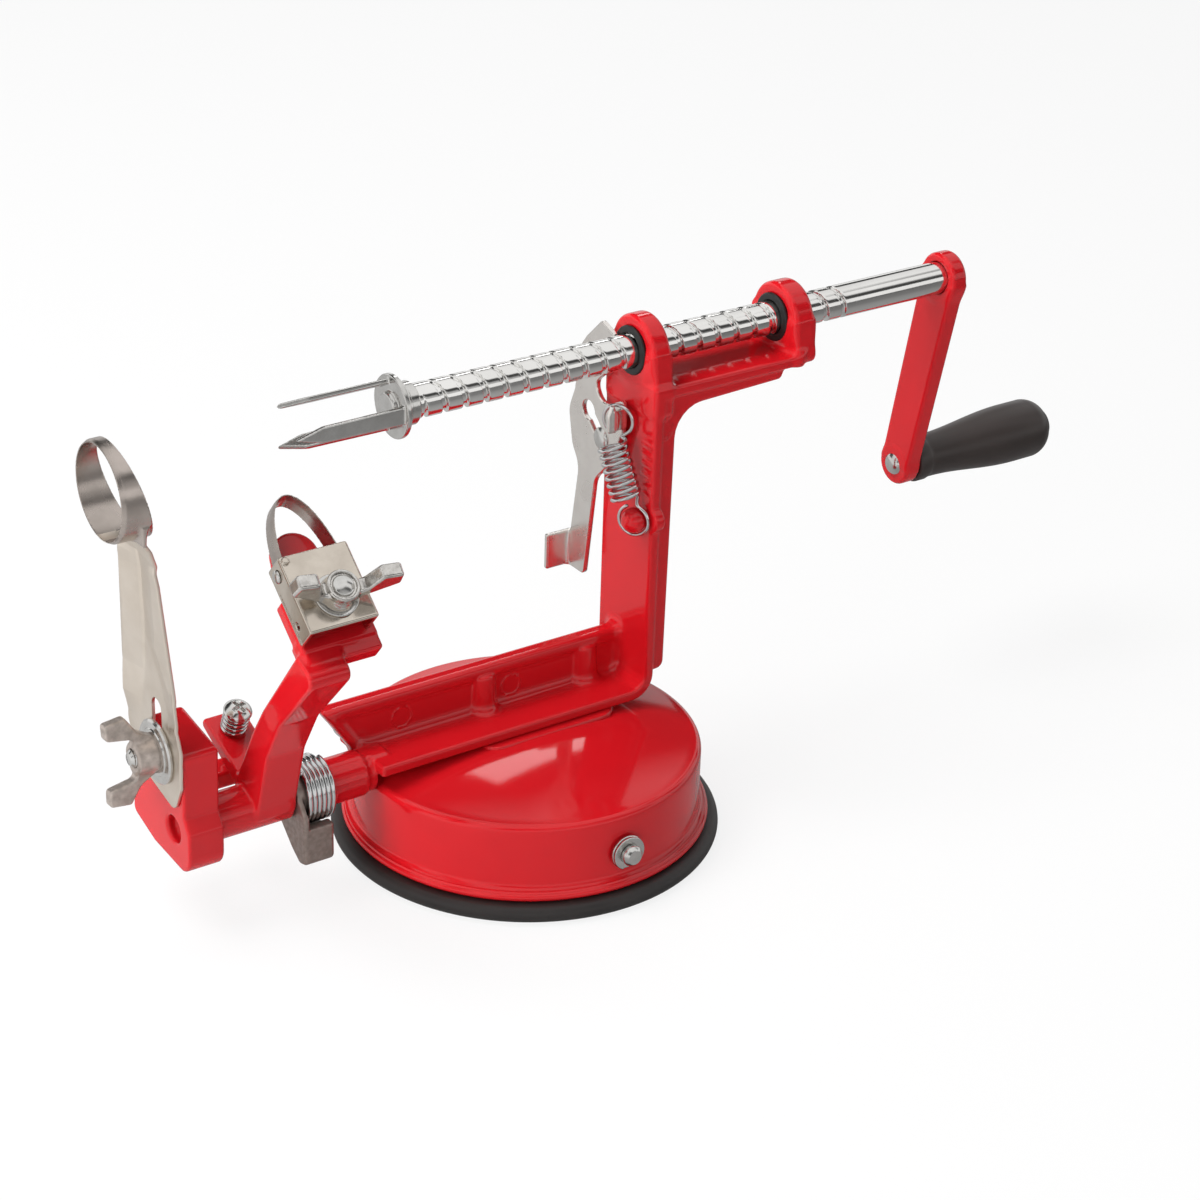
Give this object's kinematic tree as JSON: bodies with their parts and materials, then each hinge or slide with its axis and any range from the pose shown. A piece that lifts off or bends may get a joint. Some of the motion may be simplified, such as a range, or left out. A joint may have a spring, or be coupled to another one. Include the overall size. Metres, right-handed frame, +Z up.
{
  "type": "apple peeler corer",
  "caption": "Hand-cranked apple peeler corer: grooved drive shaft with fork and crank on a cast C-frame, sprung peeling arm, coring blade ring and lever-locked suction base.",
  "frame": {"origin": "centre of the suction base on the surface it stands on", "axes": "+X along the drive shaft from the corer towards the crank, +Z up, +Y towards the suction lever"},
  "size_m": [0.3303, 0.1108, 0.1462],
  "materials": {
    "rubber": "moulded",
    "red_paint": "gloss powder coat",
    "bright_steel": "polished",
    "satin_steel": "satin",
    "cast_zinc": "as cast",
    "nickel": "nickel plated",
    "black_plastic": "fine grain",
    "spring_steel": "drawn wire"
  },
  "bodies": {
    "base": {"suction_cup": "rubber", "base_cover": "red_paint", "base_screws": "bright_steel", "frame": "red_paint", "pivot_rod": "bright_steel", "blade_bracket": "red_paint", "corer_bolt": "bright_steel", "corer_washer": "satin_steel", "lever_stud": "bright_steel", "arm_spring": "spring_steel", "lever_spring": "spring_steel"},
    "lock_lever": {"suction_axle": "bright_steel", "suction_lever": "cast_zinc", "axle_clip": "bright_steel"},
    "cup_stud": {"cup_stud": "satin_steel"},
    "corer_blade": {"corer_slicer_blade": "satin_steel"},
    "corer_nut": {"corer_wing_nut": "cast_zinc"},
    "arm": {"peel_arm": "red_paint", "holder_bolt": "bright_steel", "holder_washer": "nickel", "depth_screw_spring": "spring_steel"},
    "holder": {"blade_holder": "nickel", "peel_blade": "satin_steel", "holder_rivets": "nickel"},
    "holder_nut": {"holder_wing_nut": "cast_zinc"},
    "depth_screw": {"depth_screw": "bright_steel"},
    "latch": {"arm_latch": "cast_zinc"},
    "bushes": {"front_bush": "black_plastic", "rear_bush": "black_plastic"},
    "drive": {"drive_shaft": "bright_steel", "fork": "satin_steel", "shaft_collar": "satin_steel", "crank_arm": "red_paint", "grip_pin": "bright_steel"},
    "grip": {"crank_grip": "black_plastic"},
    "release": {"release_lever": "satin_steel"}
  },
  "joints": [
    {"name": "lock_lever_turn", "type": "hinge", "parent": "base", "child": "lock_lever", "pos_m": [0, 0, 0.016], "axis": [0, 1, 0], "range_deg": [0, 170]},
    {"name": "cup_stud_lift", "type": "slide", "parent": "base", "child": "cup_stud", "axis": [0, 0, 1], "range_m": [0, 0.003]},
    {"name": "corer_blade_slide", "type": "slide", "parent": "base", "child": "corer_blade", "axis": [0, 0, 1], "range_m": [-0.012, 0]},
    {"name": "corer_nut_turn", "type": "hinge", "parent": "base", "child": "corer_nut", "pos_m": [-0.112, 0.0078, 0.0522], "axis": [1, 0, 0], "continuous": true},
    {"name": "peel_arm_swing", "type": "hinge", "parent": "base", "child": "arm", "pos_m": [-0.082, 0.0031, 0.0303], "axis": [1, 0, 0], "range_deg": [0, 50], "stiffness_Nm_per_rad": 0.15, "springref_deg": -85.94},
    {"name": "blade_holder_slide", "type": "slide", "parent": "arm", "child": "holder", "axis": [0, 0.766, 0.6428], "range_m": [-0.003, 0.003]},
    {"name": "holder_nut_turn", "type": "hinge", "parent": "arm", "child": "holder_nut", "pos_m": [-0.0755, -0.02567, 0.10324], "axis": [0, -0.6428, 0.766], "continuous": true},
    {"name": "depth_screw_turn", "type": "hinge", "parent": "arm", "child": "depth_screw", "pos_m": [-0.082, 0.021, 0.0425], "axis": [0, -0.3987, 0.9171], "continuous": true},
    {"name": "arm_latch_swing", "type": "hinge", "parent": "base", "child": "latch", "pos_m": [-0.067, 0.0031, 0.0303], "axis": [1, 0, 0], "range_deg": [-20, 20]},
    {"name": "shaft_spin", "type": "hinge", "parent": "base", "child": "bushes", "pos_m": [0, 0.006, 0.1355], "axis": [1, 0, 0], "range_deg": [-2580, 3600]},
    {"name": "shaft_feed", "type": "slide", "parent": "bushes", "child": "drive", "axis": [1, 0, 0], "range_m": [-0.046, 0.064]},
    {"name": "grip_spin", "type": "hinge", "parent": "drive", "child": "grip", "pos_m": [0.17, 0.01859, 0.07071], "axis": [1, 0, 0], "continuous": true},
    {"name": "release_lever_swing", "type": "hinge", "parent": "base", "child": "release", "pos_m": [0.034, 0.015, 0.106], "axis": [1, 0, 0], "range_deg": [-12, 0], "stiffness_Nm_per_rad": 0.1, "springref_deg": 28.65, "deforming": ["lever_spring"]}
  ],
  "couplings": [
    {"joint": "cup_stud_lift", "follows": "lock_lever_turn", "m_per_rad": 0.001003},
    {"joint": "shaft_feed", "follows": "shaft_spin", "m_per_rad": 0.0010106}
  ]
}
